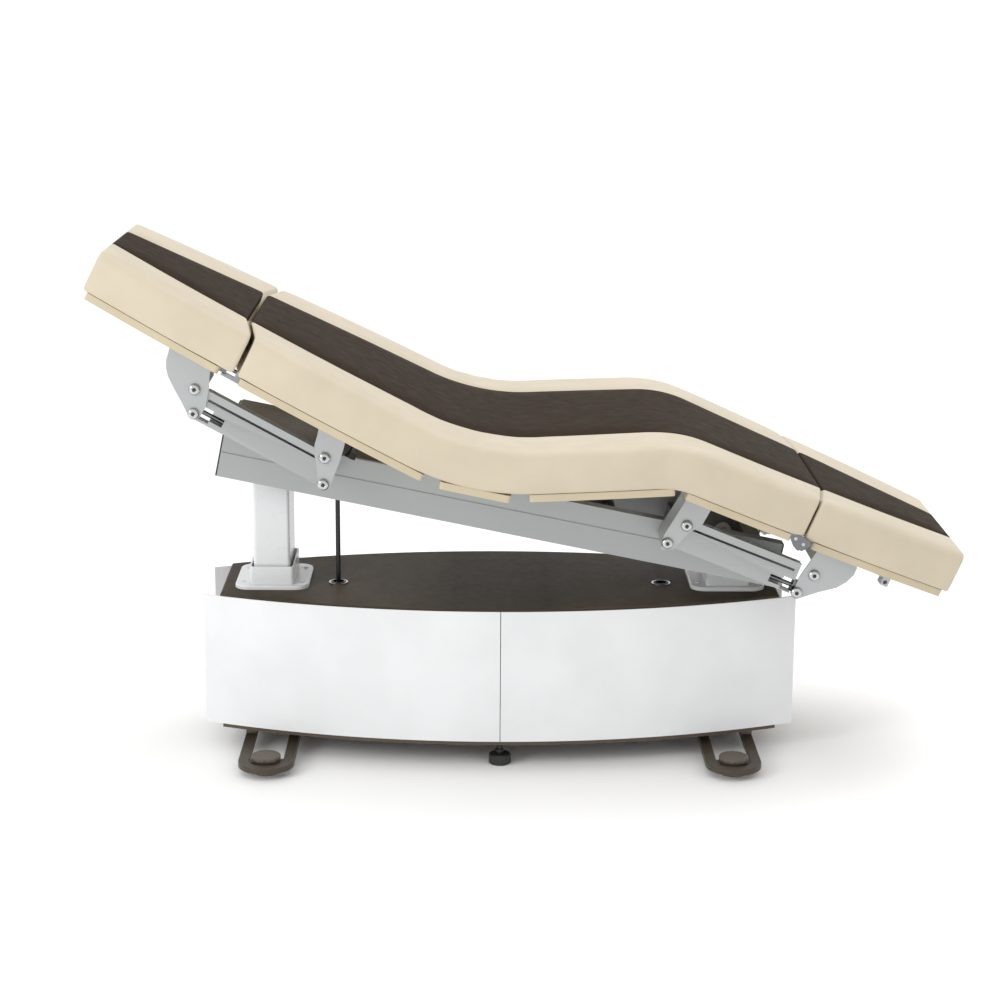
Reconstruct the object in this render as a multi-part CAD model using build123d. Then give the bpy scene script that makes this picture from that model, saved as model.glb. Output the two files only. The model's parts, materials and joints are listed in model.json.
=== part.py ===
from build123d import *
import math
import os

# Facial treatment bed, in millimetres.
# +X runs along the bed towards the foot end, +Y to the rear, +Z up.
# Every piece is laid out from the middle of the base and moved by
# bed_shift at the end, so that the origin is the middle of the footprint.

# ---- driving dimensions ----
bed_shift = -64.3             # base centre to the middle of the whole bed

base_length = 1370.0          # over the curved covers
base_half_width = 262.0       # covers, at the middle
base_end_half_width = 120.0   # covers, at the ends
cover_bottom = 62.0
cover_top = 370.0
cover_thickness = 5.0
top_plate_top = 376.0
top_plate_thickness = 12.0
top_plate_length = 1290.0
bottom_plate_bottom = 52.0
plate_thickness = 12.0

column_spacing = 1060.0       # between the two lifting columns
column_outer_x = 103.0
column_outer_y = 176.0
column_middle_x = 84.5
column_middle_y = 154.0
column_inner_x = 62.0
column_inner_y = 134.0
column_wall = 4.0
column_fit = 5.25             # gap between the outer and middle tubes
collar_top = 427.0
flange_x, flange_y, flange_thickness = 172.0, 208.0, 9.0
left_extension = 214.0        # how far the left column stands out
right_head_height = 482.0     # right chassis pivot above the floor

chassis_depth = 102.0
chassis_width = 384.0
chassis_wall = 40.0
chassis_half_length = 640.0
cover_end = -262.0            # right end of the chassis cover plate

mattress_half_width = 435.0   # widest, at the middle
mattress_end_half_width = 275.0
mattress_thickness = 94.0
cushion_gap = 9.0
board_thickness = 16.0
board_inset = 5.0

rail_height = 72.0
rail_depth = 30.0
rail_outer_y = 288.0
slot_depth, slot_height = 16.0, 5.5
slot_margin = 10.0            # closed length at each end of the rail's slot
bracket_thickness = 5.0
bracket_gap = 0.3             # between a bracket and its rail
bolt_head_radius = 12.0
bolt_hole_radius = 5.1
bracket_corner = 2.5
leaf_width = 62.0             # of the bracket's leaf under a board
wing_width, wing_thickness = 92.0, 4.0
end_section_drop = 30.0       # how far head and foot sections fold down

# ---- places along the bed, as X, Z ----
head_top_start = (-869.9, 1181.2)
joint_head_back = (-562.0, 1025.0)
back_start = (-553.5, 1020.7)
back_pelvis_top = (-113.0, 800.0)
pelvis_thigh_top = (20.0, 773.5)
knee_top = (391.0, 787.5)
leg_end = (721.0, 645.7)
foot_start = (725.1, 643.9)
foot_end = (1041.0, 508.1)

back_hinge = (-149.0, 703.0)
thigh_hinge = (38.0, 669.0)
knee_hinge = (386.0, 678.0)
head_pivot = (-672.0, 883.0)
head_drive_pin = (-676.0, 829.0)
foot_pivot = (698.0, 467.0)
foot_drive_pin = (660.0, 427.0)

right_pivot = (column_spacing / 2, right_head_height)
left_pivot = (-column_spacing / 2, right_head_height + left_extension)
cable_x, cable_y = -378.0, -40.0
pivot_pin_radius = 10.0
hinge_radius, hinge_pin_radius = 8.0, 5.0
hinge_gap = 0.08              # running clearance round each hinge pin
lug_inner_y, lug_outer_y = 154.0, 168.0
shaft_radius = 12.0
crossbar_places = (-600.0, -385.0, 430.0, 600.0)
back_actuator_base = (60.0, 580.0)
back_actuator_tip = (-210.0, 652.0)
back_actuator_y = -60.0
leg_actuator_base = (250.0, 540.0)
leg_actuator_tip = (-2.0, 600.0)
leg_actuator_y = 60.0

nodes = {}
extra = {}    # small steel pieces that share a node with the brackets


def slope_between(a, b):
    """Downward slope, in degrees, of the line from a to b."""
    return math.degrees(math.atan2(a[1] - b[1], b[0] - a[0]))


chassis_slope = slope_between(left_pivot, right_pivot)
back_slope = slope_between(back_start, back_pelvis_top)
head_slope = slope_between(head_top_start, joint_head_back)
thigh_slope = slope_between(pelvis_thigh_top, knee_top)
leg_slope = slope_between(knee_top, leg_end)
foot_slope = slope_between(foot_start, foot_end)
back_rail_slope = 28.6
leg_rail_slope = 21.8


def tilted(shape, point, slope):
    """Put a shape built at the origin on a line that falls by slope."""
    return Pos(point[0], 0, point[1]) * Rot(0, slope, 0) * shape


def local(point, origin, slope):
    """Along and above coordinates of a point on a sloping line."""
    turn = math.radians(slope)
    dx, dz = point[0] - origin[0], point[1] - origin[1]
    along = dx * math.cos(turn) - dz * math.sin(turn)
    above = dx * math.sin(turn) + dz * math.cos(turn)
    return along, above


def block(x0, x1, y0, y1, z0, z1):
    size = (x1 - x0, y1 - y0, z1 - z0)
    centre = ((x0 + x1) / 2, (y0 + y1) / 2, (z0 + z1) / 2)
    return Pos(*centre) * Box(*size)


def across(radius, y0, y1, x=0.0, z=0.0):
    """A cylinder that runs across the bed."""
    middle = Pos(x, (y0 + y1) / 2, z) * Rot(90, 0, 0)
    return middle * Cylinder(radius, abs(y1 - y0))


def along(radius, x0, x1, y=0.0, z=0.0):
    """A cylinder that runs along the bed."""
    middle = Pos((x0 + x1) / 2, y, z) * Rot(0, 90, 0)
    return middle * Cylinder(radius, abs(x1 - x0))


def upright(radius, z0, z1, x=0.0, y=0.0):
    return Pos(x, y, (z0 + z1) / 2) * Cylinder(radius, z1 - z0)


def both_sides(shape):
    """The shape and its mirror image on the rear side."""
    return [shape, mirror(shape, about=Plane.XZ)]


def side_plate(points, y0, y1, round_by=0.0):
    """A flat plate with the outline given in X, Z."""
    outline = Polyline(*[(x, z) for x, z in points], close=True)
    face = make_face(outline)
    if round_by:
        face = fillet(face.vertices(), round_by)
    plate = extrude(Plane.XZ * face, amount=y1 - y0)
    low = plate.bounding_box().min.Y
    return Pos(0, y0 - low, 0) * plate


def add(name, *shapes):
    """Keep a node made of one or more separate solids."""
    solids = []
    for shape in shapes:
        parts = shape if isinstance(shape, (list, tuple)) else [shape]
        for part in parts:
            solids.extend((Pos(bed_shift, 0, 0) * part).solids())
    nodes[name] = solids[0] if len(solids) == 1 else Compound(solids)


# ---- base ----
def barrel_outline(length, middle, end):
    """Plan outline with two bowed sides and two straight ends."""
    half = length / 2
    front = ThreePointArc((-half, -end), (0, -middle), (half, -end))
    right = Line((half, -end), (half, end))
    rear = ThreePointArc((half, end), (0, middle), (-half, end))
    left = Line((-half, end), (-half, -end))
    return make_face(Curve() + [front, right, rear, left])


bow = base_half_width - base_end_half_width


def base_width_at(x):
    """Half-width of the cover's outer face at a distance from the middle."""
    half = base_length / 2
    radius = (half ** 2 + bow ** 2) / (2 * bow)
    return base_half_width - radius + math.sqrt(radius ** 2 - x ** 2)


def make_base():
    gap = cover_thickness + 1.0
    plate_end = base_width_at(top_plate_length / 2) - gap
    plate_face = barrel_outline(
        top_plate_length, base_half_width - gap, plate_end)
    bottom = Pos(0, 0, bottom_plate_bottom) * extrude(
        plate_face, amount=plate_thickness)
    top_face = barrel_outline(
        top_plate_length, base_half_width - 1.0, plate_end + gap - 1.0)
    lip = Pos(0, 0, cover_top + 0.5) * extrude(
        top_face, amount=top_plate_top - cover_top - 0.5)
    body = Pos(0, 0, top_plate_top - top_plate_thickness) * extrude(
        plate_face, amount=top_plate_thickness)
    top = lip + body
    top = chamfer(top.faces().sort_by(Axis.Z)[-1].edges(), 3.0)
    for x in (-column_spacing / 2, column_spacing / 2):
        top -= block(x - column_outer_x / 2 - 3, x + column_outer_x / 2 + 3,
                     -column_outer_y / 2 - 3, column_outer_y / 2 + 3,
                     cover_top - 20, top_plate_top + 5)
    for x in (cable_x, -cable_x):
        top -= upright(16.5, cover_top - 20, top_plate_top + 5, x, cable_y)
    add("bottom_plate", bottom)
    add("top_plate", top)

    outer = barrel_outline(
        base_length, base_half_width, base_end_half_width)
    inner = barrel_outline(
        base_length + 2, base_half_width - cover_thickness,
        base_end_half_width - cover_thickness)
    ring = extrude(outer, amount=cover_top - cover_bottom)
    ring -= extrude(inner, amount=cover_top - cover_bottom)
    ring = Pos(0, 0, cover_bottom) * ring
    half = base_length / 2
    seam = 0.8
    sides = {"front": (-300, -50), "rear": (50, 300)}
    ends = {"left": (-half, -seam), "right": (seam, half)}
    for side, (y0, y1) in sides.items():
        for end, (x0, x1) in ends.items():
            keep = block(x0, x1, y0, y1, 0, 500)
            add(f"{side}_{end}_cover", ring & keep)

    low = bottom_plate_bottom + plate_thickness
    high = top_plate_top - top_plate_thickness
    panel_x = top_plate_length / 2 - 26
    panel_half = base_width_at(panel_x) - gap - 2
    panels = []
    for x in (-panel_x, panel_x):
        panels.append(
            block(x - 3, x + 3, -panel_half, panel_half, low, high))
    panels[1] -= block(panel_x - 9, panel_x + 9, 36.5, 83.5, 96.5, 123.5)
    add("end_panels", panels)
    posts = []
    for x in (-350.0, -130.0, 130.0, 350.0):
        y = base_width_at(x) - 45
        post = block(x - 15, x + 15, -y - 15, -y + 15, low, high)
        post -= block(x - 12, x + 12, -y - 12, -y + 12, low, high)
        posts.extend(both_sides(post))
    add("base_posts", posts)
    add("control_box", block(-130, 130, -90, 90, low, low + 92))
    inlet = block(panel_x - 14, panel_x + 7, 37, 83, 97, 123)
    inlet += block(panel_x + 3.2, panel_x + 7, 31, 89, 92, 128)
    inlet -= block(panel_x - 4, panel_x + 8, 47, 73, 101, 119)
    for y, z in ((60, 113), (53, 107), (67, 107)):
        inlet += block(panel_x - 5, panel_x + 3, y - 1, y + 1, z - 3, z + 3)
    add("mains_inlet", inlet)
    rings = []
    for x in (cable_x, -cable_x):
        sleeve = upright(16.2, cover_top - 8, top_plate_top, x, cable_y)
        sleeve += upright(22, top_plate_top, top_plate_top + 3.5, x, cable_y)
        sleeve -= upright(13, cover_top - 10, top_plate_top + 5, x, cable_y)
        rings.append(sleeve)
    add("cable_rings", rings)


# ---- feet ----
loop_top, loop_bottom = 29.0, 15.0
loop_half_width, loop_band = 63.5, 25.0
loop_reach = 356.0
foot_x = 531.0


def make_feet():
    pad_y = loop_reach - loop_half_width
    thickness = loop_top - loop_bottom
    loops, feet = [], []
    for x in (-foot_x, foot_x):
        outer = SlotCenterToCenter(2 * pad_y, 2 * loop_half_width)
        inner = SlotCenterToCenter(
            2 * pad_y, 2 * (loop_half_width - loop_band))
        loop = extrude(Rot(0, 0, 90) * (outer - inner), amount=thickness)
        loop = Pos(x, 0, loop_bottom) * loop
        edges = loop.edges().filter_by(GeomType.CIRCLE)
        loop = fillet(edges, 2.0)
        for y in (-pad_y, pad_y):
            bridge = block(x - 41, x + 41, y - 12, y + 12,
                           loop_bottom + 1, loop_top - 2)
            loop += bridge
            loop -= upright(6.1, 0, 60, x, y)
        loops.append(loop)
        for y in (-pad_y, pad_y):
            foot = upright(30, 0, 7, x, y)
            foot += upright(6, 7, 33, x, y)
            cap = chamfer(
                Cylinder(33.2, 9).edges().sort_by(Axis.Z)[-1], 1.5)
            foot += Pos(x, y, 36.5) * cap
            feet.append(foot)
    add("levelling_feet", feet)
    for x in (-foot_x, foot_x):
        for y in (-90, 90):
            for sign in (-1, 1):
                loops.append(block(
                    x + sign * 51 - 12, x + sign * 51 + 12, y - 20, y + 20,
                    loop_top, bottom_plate_bottom))
    add("foot_loops", loops)
    for end, y in (("front", -229.0), ("rear", 229.0)):
        knob = upright(25.5, 0, 24, 0, y)
        knob = chamfer(knob.edges().filter_by(GeomType.CIRCLE), 3.0)
        for turn in range(0, 360, 20):
            place = Pos(0, y, 12) * Rot(0, 0, turn) * Pos(26.5, 0, 0)
            knob -= place * Cylinder(2.4, 30)
        stem = upright(6, 24, bottom_plate_bottom - 4, 0, y)
        stem += upright(10, 29, 34, 0, y)
        stem += upright(15, bottom_plate_bottom - 4,
                        bottom_plate_bottom, 0, y)
        add(f"{end}_levelling_knob", knob, stem)


# ---- lifting columns ----
def tube(x, width, depth, z0, z1, wall, radius):
    outer = RectangleRounded(width, depth, radius)
    inner = RectangleRounded(width - 2 * wall, depth - 2 * wall,
                             max(radius - wall, 1.0))
    return Pos(x, 0, z0) * extrude(outer - inner, amount=z1 - z0)


def column_head(x, plate_z, pivot_z):
    """Closing plate of an inner tube with two ears for the pivot pin."""
    head = Pos(x, 0, plate_z) * extrude(
        RectangleRounded(column_inner_x, column_inner_y, 6), amount=6)
    for y in (-50, 50):
        head += block(x - 20, x + 20, y - 7, y + 7, plate_z + 6, pivot_z)
        head += across(20, y - 7, y + 7, x, pivot_z)
    return head - across(pivot_pin_radius + 0.1, -70, 70, x, pivot_z)


def column_flange(x):
    flange = Pos(x, 0, top_plate_top) * extrude(
        RectangleRounded(flange_x, flange_y, 34), amount=flange_thickness)
    flange = fillet(flange.faces().sort_by(Axis.Z)[-1].edges(), 4.0)
    half_x = column_outer_x / 2 + 0.3
    half_y = column_outer_y / 2 + 0.3
    return flange - block(x - half_x, x + half_x, -half_y, half_y, 300, 450)


def make_columns():
    low = bottom_plate_bottom + plate_thickness
    middle_length = collar_top - low - 10
    inner_length = middle_length - 20
    flange_top = top_plate_top + flange_thickness
    outers, flanges, spindles = [], [], []
    for side, x, lift in (("left", -column_spacing / 2, left_extension),
                          ("right", column_spacing / 2, 0.0)):
        outers.append(tube(x, column_outer_x, column_outer_y, low,
                           collar_top, column_wall, 9))
        flanges.append(column_flange(x))
        for sx in (-69, 69):
            for y in (-62, 62):
                flanges.append(
                    upright(5, flange_top, flange_top + 3, x + sx, y))
        z0 = low + 10 + lift
        add(f"{side}_column_middle", tube(
            x, column_middle_x, column_middle_y, z0, z0 + middle_length,
            column_wall, 8))
        head_z = z0 + 20 + inner_length
        inner = tube(x, column_inner_x, column_inner_y, z0 + 20, head_z,
                     column_wall, 6)
        inner += column_head(x, head_z, right_head_height + lift)
        add(f"{side}_column_inner", inner)
        spindle = upright(9, low, low + 330, x)
        spindles.append(spindle + upright(24, low, low + 8, x))
    add("column_outers", outers)
    add("column_flanges", flanges)
    add("lift_spindles", spindles)


# ---- tilting chassis ----
def chassis_shape(shape):
    return tilted(shape, (0, (right_pivot[1] + left_pivot[1]) / 2),
                  chassis_slope)


def chassis_local(point):
    middle = (0, (right_pivot[1] + left_pivot[1]) / 2)
    return local(point, middle, chassis_slope)


def hinge_lug(pivot):
    """A lug on a beam's top with the pin that a section turns on."""
    x, z = pivot
    tilt = math.radians(chassis_slope)
    foot = [(x + side * hinge_radius,
             (right_pivot[1] + left_pivot[1]) / 2
             + chassis_depth / 2 / math.cos(tilt)
             - (x + side * hinge_radius) * math.tan(tilt))
            for side in (1, -1)]
    outline = [(x - hinge_radius, z), (x + hinge_radius, z)] + foot
    lug = side_plate(outline, -lug_outer_y, -lug_inner_y)
    lug += across(hinge_radius, -lug_outer_y, -lug_inner_y, x, z)
    return lug + across(hinge_pin_radius, -lug_outer_y - 2, -132, x, z)


def make_chassis():
    half_depth = chassis_depth / 2
    outer_y = chassis_width / 2
    inner_y = outer_y - chassis_wall
    half = chassis_half_length
    pivot_reach = chassis_local(right_pivot)[0]

    beam = block(-half, half, -outer_y, -inner_y, -half_depth, half_depth)
    beam -= block(-half, half, -outer_y + 4, -inner_y - 4,
                  -half_depth + 4, half_depth - 4)
    beam -= block(-half, half, -outer_y - 1, -outer_y + 2,
                  half_depth - 46, half_depth - 42)
    caps = [block(x, x + 3, -outer_y, -inner_y, -half_depth, half_depth)
            for x in (-half - 3, half)]
    beams = []
    for piece in [beam] + caps:
        beams.extend(chassis_shape(p) for p in both_sides(piece))
    add("chassis_beams", beams)
    bars = []
    for x in crossbar_places:
        bar = block(x - 20, x + 20, -inner_y, inner_y, -20, 20)
        bar -= block(x - 16, x + 16, -inner_y, inner_y, -16, 16)
        bars.append(chassis_shape(bar))
    bars.append(across(shaft_radius, -inner_y, -20, *back_actuator_base))
    bars.append(across(shaft_radius, 20, inner_y, *leg_actuator_base))
    cover = block(-half, cover_end, -outer_y, outer_y,
                  half_depth, half_depth + 3)
    cover -= block(cover_end - 70, cover_end + 1, back_actuator_y - 38,
                   back_actuator_y + 38, half_depth - 1, half_depth + 4)
    add("chassis_cover", chassis_shape(cover))

    fittings = []
    for sign in (-1, 1):
        y0, y1 = sorted((sign * 84, sign * 94))
        cheek = block(pivot_reach - 35, pivot_reach + 35, y0, y1, -30, 30)
        y0, y1 = sorted((sign * 84, sign * inner_y))
        cheek += block(pivot_reach - 35, pivot_reach + 35, y0, y1, -30, -22)
        cheek = chassis_shape(cheek)
        fittings.append(
            cheek - across(pivot_pin_radius, -200, 200, *right_pivot))
        y0, y1 = sorted((sign * inner_y, sign * (inner_y - 14)))
        for z in (-29, 21):
            fittings.append(chassis_shape(block(
                -pivot_reach - 60, -pivot_reach + 70, y0, y1, z, z + 8)))
    fittings.append(across(pivot_pin_radius, -100, 100, *right_pivot))
    for pivot in (back_hinge, thigh_hinge):
        fittings.extend(both_sides(hinge_lug(pivot)))
    add("chassis_crossmembers", bars, fittings)

    runners = []
    for sign in (-1, 1):
        y0, y1 = sorted((sign * (inner_y - 2), sign * 70))
        runner = chassis_shape(block(
            -pivot_reach - 28, -pivot_reach + 28, y0, y1, -20, 20))
        runners.append(
            runner - across(pivot_pin_radius, -200, 200, *left_pivot))
    runners.append(across(pivot_pin_radius, -110, 110, *left_pivot))
    add("pivot_carriage", runners)


# ---- upholstered sections ----
def contour_length():
    stations = [head_top_start, joint_head_back, back_start,
                back_pelvis_top, pelvis_thigh_top, knee_top, leg_end,
                foot_start, foot_end]
    return sum(math.dist(a, b) for a, b in zip(stations, stations[1:]))


half_contour = contour_length() / 2
side_bow = mattress_half_width - mattress_end_half_width
side_radius = (half_contour ** 2 + side_bow ** 2) / (2 * side_bow)


def mattress_width_at(run):
    """Half-width at a distance along the contour from the head end."""
    away = run - half_contour
    return (mattress_half_width - side_radius
            + math.sqrt(side_radius ** 2 - away ** 2))


def pad(run0, length, inset, depth0, depth1, start=0.0, end=0.0):
    """A slab of the barrel-shaped mattress, top at height zero.

    run0 is how far along the contour it begins. start and end trim it.
    """
    x0, x1 = start, length - end
    xm = (x0 + x1) / 2
    y0, ym, y1 = [mattress_width_at(run0 + x) - inset
                  for x in (x0, xm, x1)]
    front = ThreePointArc((x0, -y0), (xm, -ym), (x1, -y1))
    right = Line((x1, -y1), (x1, y1))
    rear = ThreePointArc((x1, y1), (xm, ym), (x0, y0))
    left = Line((x0, y0), (x0, -y0))
    face = make_face(Curve() + [front, right, rear, left])
    return Pos(0, 0, -depth1) * extrude(face, amount=depth1 - depth0)


def wedge(shape, x, top_cut, bottom_cut, side, depth):
    """Trim an end of a pad on a slant: cut lengths at top and bottom."""
    far = 400 * side
    points = [(x - side * top_cut, 1), (x - side * bottom_cut, -depth - 1),
              (x + far, -depth - 1), (x + far, 1)]
    return shape - side_plate(points, -600, 600)


def make_section(name, start, end, run0, slope, board, trims):
    """The board and the pad of one section; returns the contour length."""
    length = math.dist(start, end)
    cushion = pad(run0, length, 0, 0, mattress_thickness)
    depth = mattress_thickness
    cushion = wedge(cushion, 0, trims[0][0], trims[0][1], -1, depth)
    cushion = wedge(cushion, length, trims[1][0], trims[1][1], 1, depth)
    add(f"{name}_cushion", tilted(cushion, start, slope))
    under = mattress_thickness + 0.3
    panel = pad(run0, length, board_inset, under, under + board_thickness,
                board[0], board[1])
    corner = panel.edges().filter_by(Axis.Z)
    panel = fillet(corner, 8)
    add(f"{name}_board", tilted(panel, start, slope))
    return length


def make_sections():
    run = 0.0
    run += make_section("head", head_top_start, joint_head_back, run,
                        head_slope, (12, 4), ((0, 0), (0, 0)))
    run += cushion_gap
    run += make_section("back", back_start, back_pelvis_top, run,
                        back_slope, (36, 14), ((0, 0), (92, 8)))
    run += make_section("pelvis", back_pelvis_top, pelvis_thigh_top, run,
                        chassis_slope, (-2, -18), ((36, 2), (36, 2)))
    run += make_section("thigh", pelvis_thigh_top, knee_top, run,
                        thigh_slope, (34, 22), ((42, 10), (42, 28)))
    run += make_section("leg", knee_top, leg_end, run,
                        leg_slope, (52, 52), ((42, 28), (0, 0)))
    run += cushion_gap
    make_section("foot", foot_start, foot_end, run,
                 foot_slope, (-5, 14), ((0, 0), (0, 0)))


# ---- side rails and brackets ----
def make_rail(length, pin, slide):
    """Side rail along +X, top edge at height zero, front side.

    pin is where the drive pin lies in the rail's own coordinates and
    slide is how far it travels, along and up, over the section's range.
    """
    y0, y1 = -rail_outer_y, -rail_outer_y + rail_depth
    rail = block(0, length, y0, y1, -rail_height, 0)
    rail -= block(0, length, y0 + 4, y1 - 4, -rail_height + 5, -5)
    rail -= block(slot_margin, length - slot_margin, y0 - 1, y0 + 5,
                  -slot_depth - slot_height, -slot_depth)
    rail -= block(0, length, y0 + 9, y1 - 9, -6, 1)
    reach, rise = slide
    low, high = pin[1] - 6.5, pin[1] + rise + 6.5
    middle = (low + high) / 2
    inward = 1 if reach > 0 else -1
    near = sorted((pin[0] - 40 * inward, pin[0] + reach + 16 * inward))
    far = sorted((pin[0], pin[0] + reach + 46 * inward))
    rail -= block(*near, y0 - 1, y0 + 6, low, high)
    rail -= block(*far, y0 - 1, y0 + 6, middle - 9, middle + 9)
    rail -= block(*near, y1 - 6, y1 + 1, low, high)
    return rail


def make_drive(pin, slide):
    """Gas spring and its rod with the slotted yoke, in rail coordinates."""
    y0, y1 = -rail_outer_y, -rail_outer_y + rail_depth
    reach, rise = slide
    inward = 1 if reach > 0 else -1
    middle = pin[1] + rise / 2
    low = max(pin[1] - 5.5, -rail_height + 5.4)
    high = pin[1] + rise + 5.5
    yoke = block(pin[0] - 14, pin[0] + 14, y0 + 0.5, y1 - 4.5, low, high)
    yoke -= block(pin[0] - 7.7, pin[0] + 7.7, y0 - 1, y0 + 12,
                  low - 1, high + 1)
    yoke += block(pin[0] - 14, pin[0] + 14, y1 - 10, y1 - 4.5, low, high)
    middle_y = (y0 + y1) / 2
    x0 = pin[0] + 14 * inward
    x1 = pin[0] + reach + 110 * inward
    x2 = pin[0] + reach + 46 * inward
    x3 = pin[0] + reach + 170 * inward
    rod = along(5, x0, x1, middle_y, middle)
    spring = along(9, x2, x3, middle_y, middle)
    spring -= along(5.6, x2, x1 + 30 * inward, middle_y, middle)
    return yoke + rod, spring


def bolt(point, y_face):
    """A domed bolt whose head stands on the outer side of a bracket."""
    x, z = point
    head = across(bolt_head_radius, y_face - 8, y_face, x, z)
    head = fillet(head.edges().group_by(Axis.Y)[0], 6)
    shank = across(5, y_face, y_face + 11, x, z)
    return head + shank


def bracket(points, leaf_line, wing, bolts):
    """A bent plate: a leaf under the board and a wing along one edge.

    wing is the edge the plate is bent inwards at, as X, Z points, with
    the side that its thickness lies on.
    """
    outer = bracket_face
    plate = side_plate(points, outer, outer + bracket_thickness,
                       bracket_corner)
    slope = slope_between(*leaf_line)
    leaf = block(0, math.dist(*leaf_line), outer, outer + leaf_width, -4, 0)
    plate += tilted(leaf, leaf_line[0], slope)
    edge, side = wing
    inner = [(x + side * wing_thickness, z) for x, z in reversed(edge)]
    plate += side_plate(edge + inner, outer, outer + wing_width)
    for x, z in bolts:
        plate -= across(bolt_hole_radius, outer - 5, outer + 40, x, z)
    return plate


def offset_down(start, slope, along, down):
    """A point under a section's top line."""
    turn = math.radians(slope)
    x = start[0] + along * math.cos(turn) - down * math.sin(turn)
    z = start[1] - along * math.sin(turn) - down * math.cos(turn)
    return x, z


under_board = mattress_thickness + board_thickness + 0.6
bracket_face = -rail_outer_y - bracket_thickness - bracket_gap
back_rail_start = (-643.0, 879.0)
back_rail_length = 305.0
back_rail_bolts = ((-390.0, 731.0), (-394.0, 671.0))
leg_rail_start = (400.0, 599.0)
leg_rail_length = 292.0
leg_rail_bolts = ((411.0, 580.0), (369.0, 540.0))


def pin_slide(pivot, pin, slope, angle):
    """How far a drive pin moves along and above its rail."""
    turn = math.radians(angle)
    dx, dz = pin[0] - pivot[0], pin[1] - pivot[1]
    moved = (pivot[0] + dx * math.cos(turn) + dz * math.sin(turn),
             pivot[1] - dx * math.sin(turn) + dz * math.cos(turn))
    before, after = local(pin, pivot, slope), local(moved, pivot, slope)
    return after[0] - before[0], after[1] - before[1]


def make_rails():
    for name, start, slope, length, bolts, end, pivot, pin, angle in (
            ("back", back_rail_start, back_rail_slope, back_rail_length,
             back_rail_bolts, "head", head_pivot, head_drive_pin,
             -end_section_drop),
            ("leg", leg_rail_start, leg_rail_slope, leg_rail_length,
             leg_rail_bolts, "foot", foot_pivot, foot_drive_pin,
             end_section_drop)):
        slide = pin_slide(pivot, pin, slope, angle)
        pin_place = local(pin, start, slope)
        rail = tilted(make_rail(length, pin_place, slide), start, slope)
        for x, z in bolts:
            rail -= across(bolt_hole_radius, -400, 0, x, z)
        rail -= across(5.05, -400, 0, *pivot)
        add(f"{name}_rails", both_sides(rail))
        rod, spring = [tilted(shape, start, slope)
                       for shape in make_drive(pin_place, slide)]
        add(f"{end}_drive_rods", both_sides(rod))
        add(f"{end}_gas_springs", both_sides(spring))


def make_brackets():
    outlines = {
        "head": [(-722, 982), (-727, 964), (-732, 948), (-733, 931),
                 (-729, 911), (-716, 883), (-701, 854), (-686, 822),
                 (-674, 815), (-663, 820), (-649, 843), (-642, 877),
                 (-638, 917), (-632, 936)],
        "back": [(-398, 819), (-406, 780), (-412, 760), (-412, 735),
                 (-408, 705), (-407, 683), (-402, 667), (-392, 659),
                 (-381, 662), (-377, 671), (-357, 723), (-348, 752),
                 (-340, 790)],
        "leg": [(412, 656.5), (405, 632), (361, 558), (354, 525), (383, 525),
                (416, 563), (445, 581), (462, 612), (468, 632.5)],
        "foot": [(708, 529.5), (665, 461), (650, 420), (660, 411),
                 (707, 427), (750, 438), (771, 451), (787, 467),
                 (794, 484), (790, 493.5)],
    }
    leaves = {
        "head": (head_top_start, head_slope, 222, 314),
        "back": (back_start, back_slope, 230, 293),
        "leg": (knee_top, leg_slope, 71, 130),
        "foot": (foot_start, foot_slope, 30, 116),
    }
    wings = {
        "head": ([(-632, 936), (-638, 917), (-640, 897)], -1),
        "back": ([(-340, 790), (-348, 752), (-357, 723), (-374, 679)], -1),
        "leg": ([(412, 656.5), (405, 632), (361, 558), (356, 534)], 1),
        "foot": ([(708, 529.5), (690, 502)], 1),
    }
    bolts = {
        "head": (head_pivot, head_drive_pin),
        "back": back_rail_bolts,
        "leg": leg_rail_bolts,
        "foot": (foot_pivot, foot_drive_pin),
    }
    for name, outline in outlines.items():
        start, slope, near, far = leaves[name]
        leaf = [offset_down(start, slope, a, under_board)
                for a in (near, far)]
        plate = bracket(outline, leaf, wings[name], bolts[name])
        group = both_sides(plate)
        for point in bolts[name]:
            group.extend(both_sides(bolt(point, bracket_face)))
        group.extend(extra.get(f"{name}_brackets", []))
        add(f"{name}_brackets", group)


# ---- frames under the boards ----
def section_frame(start, slope, x0, x1):
    """Two flat bars under a board, joined by two cross bars."""
    top = -under_board
    frame = block(x0, x1, -150, -120, top - 12, top)
    frame += block(x0, x1, 120, 150, top - 12, top)
    frame += block(x0, x0 + 30, -150, 150, top - 12, top)
    frame += block(x1 - 30, x1, -150, 150, top - 12, top)
    return tilted(frame, start, slope)


def hinge_arms(start, slope, pivot, bar_end):
    """Arms from a frame's bars to eyes that turn on the hinge pins."""
    along_bar, height = local(pivot, start, slope)
    top = -under_board
    low, high = sorted((bar_end, along_bar))
    arm = block(low - 4, high + 4, -150, -134, top - 12, top)
    arm += block(along_bar - 5, along_bar + 5, -150, -134,
                 top - 12, height)
    arm += across(hinge_radius, -150, -134, along_bar, height)
    arm -= across(hinge_pin_radius + hinge_gap, -151, -133,
                  along_bar, height)
    front, rear = both_sides(tilted(arm, start, slope))
    return front + rear


def knee_lugs():
    """Plates on the thigh frame that carry the knee's pins."""
    along_bar, height = local(knee_hinge, pelvis_thigh_top, thigh_slope)
    top = -under_board
    plate = block(300, along_bar, -lug_outer_y, -lug_inner_y,
                  top - 12, top)
    plate += block(300, 330, -lug_outer_y, -120, top - 12, top)
    plate += across(hinge_radius, -lug_outer_y, -lug_inner_y,
                    along_bar, height)
    plate += across(hinge_pin_radius, -lug_outer_y - 2, -132,
                    along_bar, height)
    front, rear = both_sides(
        tilted(plate, pelvis_thigh_top, thigh_slope))
    return front + rear


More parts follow.
